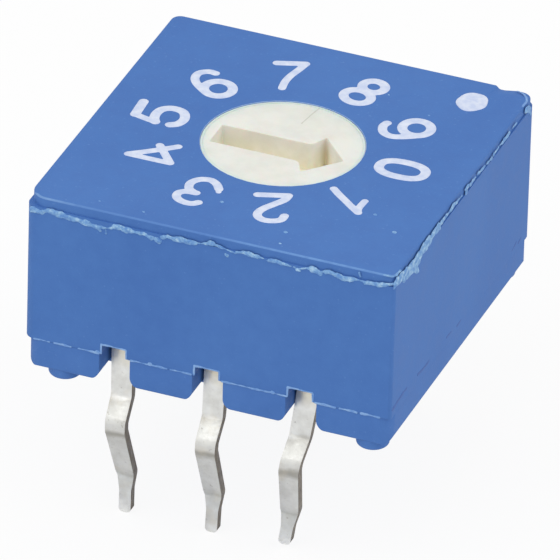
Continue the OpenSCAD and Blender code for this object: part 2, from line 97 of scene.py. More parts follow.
def make_camera():
    """A long lens, as a part this small is photographed from some way off."""
    right, up, back = camera_axes(*CAMERA_TURN)
    at = right * CAMERA_AT[0] + up * CAMERA_AT[1] + back * CAMERA_AT[2] + CAMERA_AIM
    data = bpy.data.cameras.new("camera")
    data.sensor_width = SENSOR
    data.lens = FOCAL_PX / IMAGE_PX * SENSOR
    data.clip_start, data.clip_end = CLIP
    camera = bpy.data.objects.new("camera", data)
    bpy.context.scene.collection.objects.link(camera)
    turn = Matrix((right, up, back)).transposed().to_4x4()
    camera.matrix_world = Matrix.Translation(at * MM) @ turn
    bpy.context.scene.camera = camera


make_camera()
bpy.context.scene.view_settings.view_transform = "Standard"


# ---------------------------------------------------------------- node helpers

def srgb(r, g, b):
    """A colour given as it looks on screen, 0 to 255, as the shader wants it."""
    def line(v):
        v /= 255
        return v / 12.92 if v <= 0.04045 else ((v + 0.055) / 1.055) ** 2.4
    return (line(r), line(g), line(b), 1)


class Maker:
    """A small helper that adds and links the nodes of one material."""

    def __init__(self, name):
        self.material = bpy.data.materials.new(name)
        self.material.use_nodes = True
        self.tree = self.material.node_tree
        self.shader = self.tree.nodes["Principled BSDF"]
        self.place = self.add("ShaderNodeTexCoord").outputs["Object"]

    def add(self, kind, **values):
        node = self.tree.nodes.new(kind)
        for key, value in values.items():
            setattr(node, key, value)
        return node

    def link(self, out, socket):
        self.tree.links.new(out, socket)

    def feed(self, socket, value):
        if isinstance(value, bpy.types.NodeSocket):
            self.link(value, socket)
        else:
            socket.default_value = value

    def stretched(self, x, y, z):
        """Coordinates in millimetres, scaled by x, y and z."""
        node = self.add("ShaderNodeMapping")
        self.link(self.place, node.inputs["Vector"])
        node.inputs["Scale"].default_value = (x / MM, y / MM, z / MM)
        return node.outputs["Vector"]

    def coordinate(self, axis):
        """One coordinate in millimetres, by the name of its axis."""
        node = self.add("ShaderNodeSeparateXYZ")
        self.link(self.stretched(1, 1, 1), node.inputs[0])
        return node.outputs[axis]

    def noise(self, per_mm, detail=3.0, rough=0.5, at=None):
        """A cloudy texture from 0 to 1, with per_mm clouds to the millimetre."""
        node = self.add("ShaderNodeTexNoise")
        self.link(at or self.stretched(1, 1, 1), node.inputs["Vector"])
        node.inputs["Scale"].default_value = per_mm
        node.inputs["Detail"].default_value = detail
        node.inputs["Roughness"].default_value = rough
        return node.outputs["Fac"]

    def ramp(self, value, *stops):
        """stops are pairs of a place from 0 to 1 and a colour."""
        node = self.add("ShaderNodeValToRGB")
        self.link(value, node.inputs["Fac"])
        points = node.color_ramp.elements
        while len(points) < len(stops):
            points.new(1)
        for point, (at, colour) in zip(points, stops):
            point.position = at
            point.color = colour
        return node.outputs["Color"]

    def spread(self, value, from_low, from_high, to_low, to_high):
        """Turns one range of a value into another, and holds it there."""
        node = self.add("ShaderNodeMapRange")
        self.link(value, node.inputs["Value"])
        for key, number in (("From Min", from_low), ("From Max", from_high),
                            ("To Min", to_low), ("To Max", to_high)):
            node.inputs[key].default_value = number
        return node.outputs["Result"]

    def follow(self, cloud, to_low, to_high):
        """A value that follows a noise, which lies mostly between 0.3 and 0.7."""
        return self.spread(cloud, 0.3, 0.7, to_low, to_high)

    def mix(self, factor, a, b):
        node = self.add("ShaderNodeMix", data_type="RGBA")
        self.feed(node.inputs["Factor"], factor)
        self.feed(node.inputs["A"], a)
        self.feed(node.inputs["B"], b)
        return node.outputs["Result"]

    def maths(self, kind, a, b):
        node = self.add("ShaderNodeMath", operation=kind)
        self.feed(node.inputs[0], a)
        self.feed(node.inputs[1], b)
        return node.outputs[0]

    def weighed(self, a, share_a, b, share_b):
        return self.maths("ADD", self.maths("MULTIPLY", a, share_a),
                          self.maths("MULTIPLY", b, share_b))

    def bump(self, height, mm):
        """mm is how far the height's whole range stands out."""
        node = self.add("ShaderNodeBump")
        node.inputs["Strength"].default_value = 1
        node.inputs["Distance"].default_value = mm * MM
        self.link(height, node.inputs["Height"])
        self.link(node.outputs["Normal"], self.shader.inputs["Normal"])

    def set(self, **values):
        """Fills the shader's sockets, named with _ for a space, and gives the material."""
        for key, value in values.items():
            self.feed(self.shader.inputs[key.replace("_", " ")], value)
        return self.material


# ---------------------------------------------------------------- materials

def moulded_blue(name, dark, light, pale):
    """Glass-filled polyester: faint flow marks, a spark-eroded grain and pale fibre ends."""
    m = Maker(name)
    flow = m.noise(0.35, 2, at=m.stretched(1, 1, 0.4))
    mottle = m.noise(2.2, 4, 0.6)
    grain = m.noise(16, 3, 0.6)
    fibre = m.noise(9, 2, 0.5, at=m.stretched(1, 0.35, 1))
    shade = m.weighed(flow, 0.45, mottle, 0.55)
    colour = m.ramp(shade, (0.36, dark), (0.64, light))
    ends = m.spread(m.noise(13, 2, 0.4), 0.66, 0.76, 0, 0.22)
    colour = m.mix(ends, colour, pale)
    m.bump(m.weighed(grain, 0.7, fibre, 0.3), 0.006)
    return m.set(Base_Color=colour, Roughness=m.follow(mottle, 0.5, 0.62),
                 Specular_IOR_Level=0.15)


def moulded_cream():
    """Cream plastic, with painted light that lifts the shade in its recesses and a painted shadow
    in the far barb.
    """
    m = Maker("cream_plastic")
    mottle = m.noise(1.6, 4, 0.6)
    # depth is 0 on top and 1 at the slot's floor
    depth = m.spread(m.coordinate("Z"), ROTOR_TOP - 0.75, ROTOR_TOP - 0.08, 1, 0)
    top = m.ramp(mottle, (0.35, srgb(221, 222, 214)), (0.62, srgb(229, 229, 222)))
    # paler and warmer towards the slot's floor: painted light that lifts the shade in the slot
    deep_painted_light = m.ramp(mottle, (0.35, srgb(240, 233, 208)), (0.62, srgb(250, 246, 230)))
    smudge = m.spread(m.noise(0.9, 3, 0.5), 0.52, 0.72, 0, 0.3)
    smudge = m.maths("MULTIPLY", smudge, m.spread(depth, 0, 1, 1, 0.3))
    colour = m.mix(smudge, m.mix(depth, top, deep_painted_light), srgb(214, 210, 196))
    # painted shadow in the far barb: it lies within a quarter of a millimetre of the barb, most
    # of it deep down
    reach = m.add("ShaderNodeVectorMath", operation="DISTANCE")
    m.link(m.stretched(1, 1, 0), reach.inputs[0])
    reach.inputs[1].default_value = (*BARB, 0)
    barb_shadow = m.maths("MULTIPLY", m.spread(reach.outputs["Value"], 0.06, 0.24, 0.5, 0),
                    m.spread(depth, 0, 0.6, 0.2, 1))
    colour = m.mix(barb_shadow, colour, srgb(192, 164, 104))
    m.bump(m.noise(14, 3, 0.6), 0.005)
    return m.set(Base_Color=colour, Roughness=m.follow(mottle, 0.42, 0.55),
                 Subsurface_Weight=0.35, Subsurface_Scale=0.5 * MM)


def painted_edge_highlight():
    """Painted highlight along the plateau's front rim, palest towards its two ends."""
    m = Maker("painted_edge_highlight")
    highlight_patches = m.noise(3.5, 4, 0.6)
    along = m.spread(m.coordinate("X"), -WALL, WALL, 0, 1)
    # the ramp is the painted highlight, brighter at both ends of the rim and broken up in patches
    colour = m.ramp(along, (0.02, srgb(124, 162, 210)), (0.16, srgb(88, 132, 195)),
                    (0.5, srgb(84, 128, 194)), (0.62, srgb(102, 146, 206)),
                    (0.95, srgb(106, 150, 208)))
    colour = m.mix(m.spread(highlight_patches, 0.35, 0.65, 0.45, 0), colour, srgb(76, 119, 185))
    m.bump(m.noise(15, 3, 0.6), 0.008)
    return m.set(Base_Color=colour, Roughness=0.5, Specular_IOR_Level=0.3)


def thin_skin(name, dark, light):
    """Plastic of two close tones: the bore's rim painted pale as painted light, burrs, painted
    shade of small dents and a scratch.
    """
    m = Maker(name)
    cloud = m.noise(5, 3, 0.6)
    m.bump(m.noise(15, 3, 0.6), 0.006)
    return m.set(Base_Color=m.ramp(cloud, (0.36, dark), (0.66, light)),
                 Roughness=m.follow(cloud, 0.45, 0.6), Specular_IOR_Level=0.3)


def printed_ink():
    """White pad-printed ink: thin, slightly lavender where the blue shows through."""
    m = Maker("white_ink")
    cover = m.noise(4.5, 3, 0.6)
    colour = m.ramp(cover, (0.34, srgb(193, 205, 233)), (0.66, srgb(217, 224, 240)))
    m.bump(m.noise(11, 3, 0.6), 0.004)
    return m.set(Base_Color=colour, Roughness=m.follow(cover, 0.38, 0.5))


def torn_flash():
    """Thin torn plastic, pale where it has been stretched."""
    m = Maker("torn_flash")
    stretch = m.noise(7, 4, 0.65)
    colour = m.ramp(stretch, (0.36, srgb(92, 138, 200)), (0.52, srgb(126, 169, 214)),
                    (0.66, srgb(168, 202, 230)))
    m.bump(m.noise(18, 3, 0.7), 0.02)
    return m.set(Base_Color=colour, Roughness=0.6, Specular_IOR_Level=0.3)


# Height on a terminal in millimetres and the tin's colour there, with the bends' light and shade
# painted in: painted highlights pale at the tip, painted shade where the knee is folded, and
# yellowed under the cover
TIN_TONES_AND_PAINTED_LIGHT = (
    (-4.1, 246, 246, 243), (-3.9, 240, 240, 237), (-3.75, 230, 231, 228),
    (-3.15, 228, 229, 225), (-3.0, 210, 210, 204), (-2.8, 226, 225, 220),
    (-1.55, 224, 223, 217), (-1.38, 184, 181, 172), (-1.3, 178, 175, 166),
    (-1.18, 221, 220, 215), (-0.95, 224, 224, 220), (-0.62, 221, 221, 216),
    (-0.5, 204, 203, 197), (-0.4, 236, 236, 232), (0.4, 245, 245, 240),
    (0.8, 238, 233, 216), (1.05, 230, 213, 178))


def tinned():
    """Dull tin over copper alloy, with stains, pits and a tone for each height that paints in
    highlights and shade.
    """
    m = Maker("dull_tin")
    streaks = m.noise(5, 4, 0.6, at=m.stretched(2.4, 2.4, 0.35))
    cloud = m.noise(1.7, 4, 0.6)
    along = m.maths("ADD", m.coordinate("Z"), m.follow(m.noise(1.3, 2, 0.5), -0.11, 0.11))
    low_z, high_z = TIN_TONES_AND_PAINTED_LIGHT[0][0], TIN_TONES_AND_PAINTED_LIGHT[-1][0]
    colour = m.ramp(m.spread(along, low_z, high_z, 0, 1),
                    *(((z - low_z) / (high_z - low_z), srgb(*rgb)) for z, *rgb in TIN_TONES_AND_PAINTED_LIGHT))
    colour = m.mix(m.spread(cloud, 0.36, 0.6, 0.28, 0), colour, srgb(156, 152, 142))
    stain = m.spread(m.noise(1.1, 3, 0.6), 0.56, 0.72, 0, 0.3)
    colour = m.mix(stain, colour, srgb(214, 200, 172))
    pits = m.spread(m.noise(10, 2, 0.5), 0.68, 0.76, 0, 0.4)
    colour = m.mix(pits, colour, srgb(140, 132, 120))
    m.bump(m.maths("ADD", streaks, m.maths("MULTIPLY", m.noise(12, 2, 0.5), 0.5)), 0.006)
    return m.set(Base_Color=colour, Metallic=0.85, Roughness=m.follow(streaks, 0.32, 0.5))


def sheared_edge_and_shade():
    """Cut edge of the strip, where the copper alloy shows through the smeared tin, its colour
    darkened further with painted shade.
    """
    m = Maker("sheared_edge_and_shade")
    streaks = m.noise(7, 4, 0.65, at=m.stretched(3, 3, 0.5))
    colour = m.ramp(streaks, (0.34, srgb(112, 101, 86)), (0.5, srgb(142, 132, 117)),
                    (0.68, srgb(172, 163, 149)))
    m.bump(streaks, 0.015)
    return m.set(Base_Color=colour, Metallic=0.7, Roughness=m.follow(streaks, 0.42, 0.6))


def plated(name, dark, light, rough):
    """Plated or rolled metal inside the case."""
    m = Maker(name)
    streaks = m.noise(6, 4, 0.6, at=m.stretched(0.5, 3, 3))
    colour = m.ramp(m.noise(1.5, 3, 0.6), (0.35, dark), (0.65, light))
    m.bump(streaks, 0.004)
    return m.set(Base_Color=colour, Metallic=1.0,
                 Roughness=m.follow(streaks, rough, rough + 0.12))


def rubber():
    """Matt black seal rubber with a faint dusty bloom."""
    m = Maker("seal_rubber")
    dust = m.noise(3, 4, 0.6)
    m.bump(m.noise(14, 3, 0.6), 0.006)
    return m.set(Base_Color=m.ramp(dust, (0.35, srgb(38, 38, 40)), (0.7, srgb(62, 62, 64))),
                 Roughness=m.follow(dust, 0.6, 0.8))


BLUE = moulded_blue("blue_plastic", srgb(70, 112, 179), srgb(76, 119, 185),
                    srgb(116, 154, 206))
BLUE_BASE = moulded_blue("blue_plastic_base", srgb(70, 112, 179), srgb(77, 119, 185),
                         srgb(112, 150, 203))
EDGE_HIGHLIGHT = painted_edge_highlight()
CREAM = moulded_cream()
# painted light: the bore's wall is painted pale against the shade of the narrow gap round the
# knob
BORE = thin_skin("bore_rim_painted_light", srgb(132, 162, 212), srgb(164, 188, 224))
BURR = thin_skin("seam_burr_skin", srgb(98, 142, 204), srgb(140, 176, 220))
# painted shade: dark marks for small dents on the right side that lie in shadow
DENT_SHADE = thin_skin("painted_dent_shade", srgb(48, 88, 160), srgb(60, 101, 172))
SCRATCH = thin_skin("scratch_in_cream", srgb(196, 196, 186), srgb(208, 208, 198))
INK = printed_ink()
FLASH = torn_flash()
TIN = tinned()
EDGE = sheared_edge_and_shade()
GOLD = plated("gold_plate", srgb(212, 170, 92), srgb(232, 194, 118), 0.24)
STEEL = plated("spring_steel_strip", srgb(168, 170, 172), srgb(196, 197, 198), 0.26)
RUBBER = rubber()


# ---------------------------------------------------------------- meshes

FLAT = 0.4                         # degrees between faces that are one flat face
SHARP = 32                         # degrees between faces whose edge gets rounded
CREASE = 50                        # degrees between faces that aren't shaded as one


def from_node(node, merge=1e-4):
    """The CAD node's mesh in millimetres, with flat faces whole but those at the ledge.

    merge is how close, in millimetres, two corners are that become one.
    """
    bm = bmesh.new()
    bm.from_mesh(nodes[node].data)
    bmesh.ops.scale(bm, vec=(1 / MM,) * 3, verts=bm.verts)
    bmesh.ops.remove_doubles(bm, verts=bm.verts, dist=merge)
    whole = [e for e in bm.edges if not level(e, LEDGE)]
    corners = [v for v in bm.verts if not all(level(e, LEDGE) for e in v.link_edges)]
    bmesh.ops.dissolve_limit(bm, angle_limit=math.radians(FLAT), verts=corners, edges=whole)
    bm.normal_update()
    return bm


def soften(bm, width, chosen=lambda edge: True, segments=2):
    """Rounds the sharp edges that chosen picks, width millimetres each way."""
    sharp = [e for e in bm.edges if len(e.link_faces) == 2
             and e.calc_face_angle(0) > math.radians(SHARP) and chosen(e)]
    bmesh.ops.bevel(bm, geom=sharp, offset=width, offset_type="OFFSET", segments=segments,
                    profile=0.5, affect="EDGES", clamp_overlap=True, loop_slide=False)
    bm.normal_update()


def finished(bm, name, body, materials, crease=CREASE):
    """Turns millimetre geometry into a piece that rides on a body."""
    many = [f for f in bm.faces if len(f.verts) > 4]
    bmesh.ops.triangulate(bm, faces=many, quad_method="BEAUTY", ngon_method="BEAUTY")
    bm.normal_update()
    for face in bm.faces:
        face.smooth = True
    for edge in bm.edges:
        edge.smooth = edge.calc_face_angle(0) < math.radians(crease)
    bmesh.ops.scale(bm, vec=(MM,) * 3, verts=bm.verts)
    mesh = bpy.data.meshes.new(name)
    bm.to_mesh(mesh)
    bm.free()
    for material in materials:
        mesh.materials.append(material)
    piece = bpy.data.objects.new(name, mesh)
    bpy.context.scene.collection.objects.link(piece)
    normals = piece.modifiers.new("even_normals", "WEIGHTED_NORMAL")
    normals.keep_sharp = True
    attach(piece, body)
    return piece


LEVEL_WITHIN = 0.004               # how much an edge's height may differ
OUTER_WITHIN = 0.5                 # how far in from the walls an edge counts as outer


def middle(edge):
    return (edge.verts[0].co + edge.verts[1].co) / 2


def level(edge, z):
    """Whether an edge lies at height z."""
    return all(abs(v.co.z - z) < LEVEL_WITHIN for v in edge.verts)


def outer(edge):
    """Whether an edge lies near the outline of the cover."""
    return max(abs(middle(edge).x), abs(middle(edge).y)) > WALL - OUTER_WITHIN


# Widths of the roundings, each way from the edge
ROUND_PLATEAU = 0.04
ROUND_BORE = 0.012
ROUND_RIM = 0.025
ROUND_BASE = 0.05
ROUND_KNOB = 0.02
ROUND_SLOT = 0.04
ROUND_TERMINAL = 0.022
ROUND_HIDDEN = 0.01
ROUND_RING = 0.005

# Zones that tell edges and faces apart
PLATEAU_DEPTH = 0.15               # the plateau's outer edges lie above this
ROUNDING_DEPTH = 0.05              # and the faces of their rounding above this
BORE_DEPTH = 0.6                   # how far down the bore's wall can be seen
BORE_ZONE = 2.3                    # a radius between the bore and the digits
SLOT_ZONE = 1.95                   # a radius between the driver slot and the knob's edge
FRONT_STRIP = -4.8                 # y of the strip of painted highlight along the plateau's front
BELOW_RIM = 0.02                   # the base shows lower than this below the rim
FACES_UP = 0.98                    # least z of the normal of a level face
SLOPES = 0.2                       # least z of the normal of a face of the rounding
FACES_SIDEWAYS = 0.75              # least x of the normal of a terminal's cut edge
TERMINAL_MERGE = 0.008             # the strips' bends have corners this close


def dress_cover():
    """The cover, with a painted highlight along the front of its plateau and painted light on its
    bore's wall.
    """
    bm = from_node("cover")
    soften(bm, ROUND_PLATEAU, lambda e: middle(e).z > TOP - PLATEAU_DEPTH and outer(e),
           segments=3)
    soften(bm, ROUND_BORE, lambda e: level(e, TOP), segments=3)
    soften(bm, ROUND_RIM, lambda e: level(e, RIM) and outer(e))
    for face in bm.faces:
        at = face.calc_center_median()
        rounding = at.z > TOP - ROUNDING_DEPTH and SLOPES < face.normal.z < FACES_UP
        bore = (at.z > TOP - BORE_DEPTH and at.xy.length < BORE_ZONE
                and face.normal.z < FACES_UP)
        # index 1 is the painted highlight on the plateau's front rounding, index 2 the painted
        # light on the bore's wall
        face.material_index = 2 if bore else int(rounding and at.y < FRONT_STRIP)
    piece = finished(bm, "cover_shell", "housing", [BLUE, EDGE_HIGHLIGHT, BORE])
    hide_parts("cover")


def dress_base():
    """The base, rounded where it shows below the cover's rim."""
    bm = from_node("base")
    soften(bm, ROUND_BASE, lambda e: middle(e).z < RIM - BELOW_RIM)
    piece = finished(bm, "base_plate", "housing", [BLUE_BASE])
    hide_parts("base")


def dress_rotor():
    """The rotor, rounded a little at its edge and more round its slot."""
    bm = from_node("rotor")
    soften(bm, ROUND_KNOB,
           lambda e: level(e, ROTOR_TOP) and middle(e).xy.length > SLOT_ZONE)
    soften(bm, ROUND_SLOT,
           lambda e: level(e, ROTOR_TOP) and middle(e).xy.length < SLOT_ZONE, segments=3)
    piece = finished(bm, "rotor_knob", "rotor", [CREAM])
    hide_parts("rotor")


LIP_R = 2.115                      # outer radius of the lip; the cover's bore is 2.12
LIP_IN = 2.05                      # its inner radius, inside the knob
LIP_DEPTH = 0.1
LIP_PROUD = 0.0006                 # above the knob, so that the two don't flicker
LIP_EDGE = (0.01, 0.012)           # how far its outer edge is cut back, inward and down
LIP_PARTS = 120


def rotor_lip():
    """The drawn-out edge of the knob, which all but fills the bore."""
    profile = ((LIP_IN, -LIP_DEPTH), (LIP_R, -LIP_DEPTH), (LIP_R, -LIP_EDGE[1]),
               (LIP_R - LIP_EDGE[0], LIP_PROUD), (LIP_IN, LIP_PROUD))
    bm = bmesh.new()
    rings = []
    for k in range(LIP_PARTS):
        turn = 2 * math.pi * k / LIP_PARTS
        rings.append([bm.verts.new((r * math.cos(turn), r * math.sin(turn), ROTOR_TOP + z))
                      for r, z in profile])
    for k, here in enumerate(rings):
        there = rings[(k + 1) % LIP_PARTS]
        for a in range(len(profile)):
            b = (a + 1) % len(profile)
            bm.faces.new((here[a], there[a], there[b], here[b]))
    bmesh.ops.recalc_face_normals(bm, faces=bm.faces)
    finished(bm, "rotor_lip", "rotor", [CREAM])


def dress_terminal(node):
    """A stamped strip: tin on its rolled faces, bare metal darkened with painted shade along its
    cut edges.
    """
    bm = from_node(node, merge=TERMINAL_MERGE)
    for face in bm.faces:
        face.material_index = int(abs(face.normal.x) > FACES_SIDEWAYS)
    soften(bm, ROUND_TERMINAL)
    piece = finished(bm, node + "_strip", "housing", [TIN, EDGE])
    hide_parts(node)


def dress_plain(node, name, body, material, width):
    """A piece inside the case, of one material, with its edges rounded by width."""
    bm = from_node(node)
    soften(bm, width)
    piece = finished(bm, name, body, [material])
    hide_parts(node)


dress_cover()
dress_base()
dress_rotor()
rotor_lip()
for terminal in ("contact_1", "contact_2", "contact_4", "contact_8", "contact_common"):
    dress_terminal(terminal)
dress_plain("code_disc", "code_disc_plate", "rotor", GOLD, ROUND_HIDDEN)
for side in ("left", "right"):
    dress_plain("detent_spring_" + side, "detent_leaf_" + side, "housing",
                STEEL, ROUND_HIDDEN)
dress_plain("seal_ring", "seal_ring_moulded", "rotor", RUBBER, ROUND_RING)


# ---------------------------------------------------------------- thin patches

SINK = 0.004                       # how far a skin's underside lies below the surface
CROSSING = 0.06                    # least share of a cell from its corner to a crossing
PATCH_CREASE = 60                  # degrees, as CREASE
FAR = 9.0                          # farther than any point of a patch from its lines
RING_POINTS = 49


def patch(name, inside, box, step, place, height, material, body="housing"):
    """A thin closed skin on a surface, wherever inside(u, v) is above zero.

    inside gives the distance in from the outline in millimetres, height the
    thickness there, and place turns u, v and a height into a point. The outline is
    found on a grid of cells of size step that fills the box.
    """
    (u0, u1), (v0, v1) = box
    us = np.arange(u0, u1 + step, step)
    vs = np.arange(v0, v1 + step, step)
    grid_u, grid_v = np.meshgrid(us, vs, indexing="ij")
    value = inside(grid_u, grid_v)
    bm = bmesh.new()
    known = {}

    def vertex(key, u, v, upper):
        """The vertex at a grid corner or a crossing, on the skin's upper or lower side."""
        if (key, upper) not in known:
            on_corner = len(key) == 2
            if upper:
                out = height(u, v, value[key]) if on_corner else 0
            else:
                out = -SINK
            known[(key, upper)] = bm.verts.new(place(u, v, out))
        return known[(key, upper)]

    def cell(i, j):
        """The part of a cell that is inside, as corners and crossings with their keys.

        A corner's key is its two indices, and a crossing's those of both ends of its edge.
        """
        corners = [(i, j), (i + 1, j), (i + 1, j + 1), (i, j + 1)]
        outline = []
        for a, b in zip(corners, corners[1:] + corners[:1]):
            if value[a] > 0:
                outline.append((a, us[a[0]], vs[a[1]]))
            if (value[a] > 0) != (value[b] > 0):
                lo, hi = min(a, b), max(a, b)
                t = value[lo] / (value[lo] - value[hi])
                t = min(max(t, CROSSING), 1 - CROSSING)
                outline.append((lo + hi, us[lo[0]] + (us[hi[0]] - us[lo[0]]) * t,
                                vs[lo[1]] + (vs[hi[1]] - vs[lo[1]]) * t))
        return outline

    for i in range(len(us) - 1):
        for j in range(len(vs) - 1):
            if not (value[i:i + 2, j:j + 2] > 0).any():
                continue
            outline = cell(i, j)
            for upper in (True, False):
                corners = [vertex(*point, upper) for point in outline]
                bm.faces.new(corners if upper else corners[::-1])
    found = {v: key for key, v in known.items()}
    for edge in [e for e in bm.edges if e.is_boundary]:
        if all(found[v][1] for v in edge.verts):
            a, b = edge.verts
            below_a, below_b = (known[(found[v][0], False)] for v in (a, b))
            bm.faces.new((a, b, below_b, below_a))
    bmesh.ops.recalc_face_normals(bm, faces=bm.faces)
    finished(bm, name, body, [material], crease=PATCH_CREASE)


def curve(points, steps=8):
    """A smooth line through the points, with steps lines between two of them."""
    p = np.array([points[0]] + list(points) + [points[-1]], float)
    line = []
    for a, b, c, d in zip(p, p[1:], p[2:], p[3:]):
        for t in np.arange(steps) / steps:
            line.append(0.5 * (2 * b + (c - a) * t + (2 * a - 5 * b + 4 * c - d) * t * t
                               + (3 * b - a - 3 * c + d) * t ** 3))
    return np.array(line + [p[-1]])


def ring(u, v, a, b, power=2.0):
    """An oval round u, v, squarer where power is above 2."""
    t = np.linspace(0, 2 * math.pi, RING_POINTS)
    c, s = np.cos(t), np.sin(t)
    return np.stack([u + a * np.sign(c) * abs(c) ** (2 / power),
                     v + b * np.sign(s) * abs(s) ** (2 / power)], 1)


def near(u, v, line):
    """Distance of points u, v from a line of points."""
    best = np.full(np.shape(u), FAR)
    for (ax, ay), (bx, by) in zip(line[:-1], line[1:]):
        dx, dy = bx - ax, by - ay
        size = dx * dx + dy * dy
        t = np.clip(((u - ax) * dx + (v - ay) * dy) / size, 0, 1) if size > 1e-12 else 0
        best = np.minimum(best, np.hypot(u - ax - t * dx, v - ay - t * dy))
    return best


# The strokes of each digit, as a half width and a line. u runs to the reader's right and v
# outward, in millimetres.
DIGITS = {
    0: [(0.13, ring(0.01, 0.01, 0.37, 0.61, 2.4))],
    1: [(0.105, curve([(0.215, 0.64), (0.2, 0.3), (0.175, 0), (0.15, -0.35), (0.11, -0.66)])),
        (0.095, curve([(0.215, 0.64), (0.08, 0.46), (-0.24, 0.25)]))],
    2: [(0.115, curve([(-0.33, 0.38), (-0.25, 0.58), (-0.02, 0.66), (0.22, 0.61),
                       (0.35, 0.44), (0.33, 0.24), (0.19, 0.04), (-0.05, -0.18),
                       (-0.28, -0.4), (-0.37, -0.62)])),
        (0.115, curve([(-0.37, -0.62), (0.41, -0.59)]))],
    3: [(0.115, curve([(-0.41, 0.43), (-0.31, 0.59), (-0.06, 0.66), (0.17, 0.59), (0.27, 0.4),
                       (0.17, 0.22), (-0.07, 0.11)])),
        (0.115, curve([(-0.04, 0.12), (0.2, 0.06), (0.35, -0.18), (0.29, -0.46), (0.07, -0.62),
                       (-0.18, -0.57), (-0.38, -0.42)])),
        (0.075, curve([(-0.38, -0.42), (-0.46, -0.31)]))],
    4: [(0.11, curve([(0.22, 0.66), (0.23, 0.2), (0.26, -0.3), (0.29, -0.67)])),
        (0.105, curve([(0.2, 0.64), (-0.12, 0.2), (-0.45, -0.26)])),
        (0.11, curve([(-0.45, -0.27), (0.46, -0.23)]))],
    5: [(0.13, curve([(-0.26, 0.61), (0.42, 0.65)])),
        (0.11, curve([(-0.26, 0.6), (-0.34, 0.3), (-0.4, 0.0)])),
        (0.13, curve([(-0.4, 0.0), (-0.24, 0.09), (0.01, 0.13), (0.26, 0.06), (0.4, -0.17),
                      (0.33, -0.48), (0.03, -0.63), (-0.26, -0.57), (-0.39, -0.4)]))],
    6: [(0.13, ring(0.01, -0.27, 0.37, 0.37)),
        (0.115, curve([(0.36, 0.42), (0.26, 0.58), (0.02, 0.65), (-0.2, 0.52), (-0.33, 0.24),
                       (-0.37, -0.15)]))],
    7: [(0.115, curve([(-0.37, 0.61), (0.37, 0.64)])),
        (0.105, curve([(0.37, 0.63), (0.21, 0.33), (0.02, 0.0), (-0.1, -0.3), (-0.165, -0.65)]))],
    8: [(0.13, ring(0.017, 0.35, 0.3, 0.285)), (0.13, ring(0.01, -0.31, 0.37, 0.32))],
    9: [(0.13, ring(0.0, 0.25, 0.37, 0.37)),
        (0.12, curve([(0.37, 0.24), (0.35, -0.16), (0.25, -0.49), (0.01, -0.63), (-0.27, -0.57),
                      (-0.41, -0.42)]))],
}
# The print sits a little off the rotor's axis, and some digits off their places in it
PRINT_SHIFT = (-0.06, 0.08)
PRINT_STRAY = {0: (-0.015, -0.06), 1: (-0.02, 0.0), 2: (-0.044, 0.015), 3: (-0.054, 0.02),
               8: (0.0, 0.02), 9: (0.02, -0.09)}
PRINT_RADIUS = 3.315               # middle of the ring of digits
DIGIT_STEP = 36                    # degrees from a digit to the next
DIGIT_BOX = ((-0.62, 0.62), (-0.84, 0.84))
INK_THICK = 0.012
INK_EDGE = 0.03                    # how far in from its outline the ink is thick
INK_CELL = 0.035


def ink_height(u, v, depth):
    return INK_THICK * min(1, depth / INK_EDGE) ** 0.5


def print_digit(digit, strokes):
    """One digit, its top outward, with 0 at the right and the rest clockwise from it."""
    turn = math.radians(-DIGIT_STEP * digit)
    stray = PRINT_STRAY.get(digit, (0, 0))
    out = (math.cos(turn), math.sin(turn))
    side = (math.sin(turn), -math.cos(turn))

    def inside(u, v):
        return np.max([half - near(u, v, line) for half, line in strokes], axis=0)

    def place(u, v, h):
        r = PRINT_RADIUS + v
        return (PRINT_SHIFT[0] + stray[0] + out[0] * r + side[0] * u,
                PRINT_SHIFT[1] + stray[1] + out[1] * r + side[1] * u, TOP + h)

    patch("printed_%d" % digit, inside, DIGIT_BOX, INK_CELL, place, ink_height,
          INK)


for digit, strokes in DIGITS.items():
    print_digit(digit, strokes)

DOT_AT = (3.67, 3.89)
DOT_R = 0.44
DOT_STRETCH = (1.09, 0.925)        # narrower along x and longer along y
DOT_WAVE = 0.01                    # height of the five waves in its outline
DOT_BEAD = (0.1, 1.5)              # width of the bead along its edge, and how much thicker
DOT_BOX = ((-0.5, 0.5), (-0.55, 0.55))


def in_dot(u, v):
    """The index dot's outline, a slightly wavy oval."""
    waves = DOT_WAVE * np.sin(5 * np.arctan2(v, u))
    return DOT_R - np.hypot(u * DOT_STRETCH[0], v * DOT_STRETCH[1]) - waves


def dot_height(u, v, depth):
    """The dot's ink, which has dried thicker along its edge."""
    width, more = DOT_BEAD
    return ink_height(u, v, depth) * (more if depth < width else 1.0)


patch("index_dot", in_dot, DOT_BOX, INK_CELL,
      lambda u, v, h: (DOT_AT[0] + u, DOT_AT[1] + v, TOP + h), dot_height, INK)


# ---------------------------------------------------------------- flash, burrs and specks

# Waves of a torn outline, long to short: radians to the millimetre along u and v, and share
WAVES = ((7, 5, 0.45), (17, -11, 0.3), (31, 23, 0.15), (53, -37, 0.1))
LUMP = 0.45                        # share of the thickness that comes and goes
LUMP_WAVES = (19, 23)              # radians to the millimetre along u and v
TORN_EDGE = 0.05                   # how far in from its outline torn skin is thick
TORN_LEAST = 0.003                 # least thickness


def ragged(u, v, size, seed):
    """A torn outline: smooth waves of several lengths, in millimetres."""
    return size * sum(share * np.sin(a * u + b * v + seed * (k + 1))
                      for k, (a, b, share) in enumerate(WAVES))


